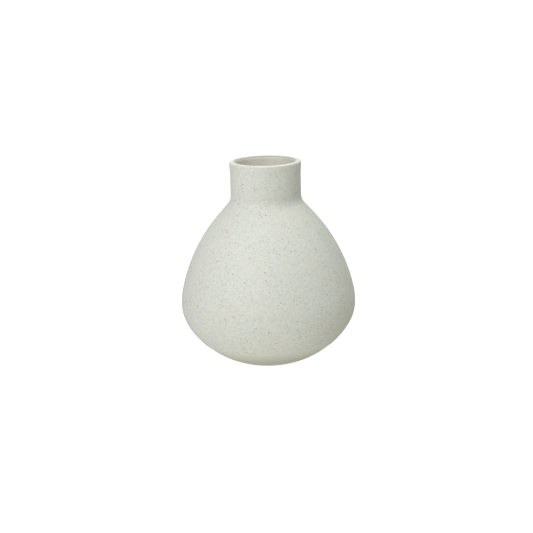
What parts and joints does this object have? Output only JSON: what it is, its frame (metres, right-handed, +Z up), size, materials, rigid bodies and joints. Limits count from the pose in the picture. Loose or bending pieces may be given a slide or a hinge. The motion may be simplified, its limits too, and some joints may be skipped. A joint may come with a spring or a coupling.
{
  "type": "ceramic bud vase",
  "caption": "Squat pear-shaped stoneware bud vase with a short straight neck, a flat lip with rounded edges, speckled matt glaze and a low turned foot ring.",
  "frame": {"origin": "centre of the standing face of the foot ring, on the vase's axis", "axes": "+Z up along the axis of turning, through the middle of the mouth; X and Y lie in the plane it stands on and are interchangeable"},
  "size_m": [0.129, 0.129, 0.1494],
  "materials": {
    "bare_clay": "matt fired stoneware, turned smooth",
    "speckled_glaze": "satin-matt off-white glaze with fine brown iron specks",
    "liner_glaze": "satin warm beige-grey liner glaze with a few specks"
  },
  "bodies": {
    "root": {"foot_ring": "bare_clay", "lower_bowl": "bare_clay", "shoulder_dome": "bare_clay", "neck_collar": "bare_clay", "outer_glaze": "speckled_glaze", "inner_glaze": "liner_glaze"}
  },
  "joints": []
}
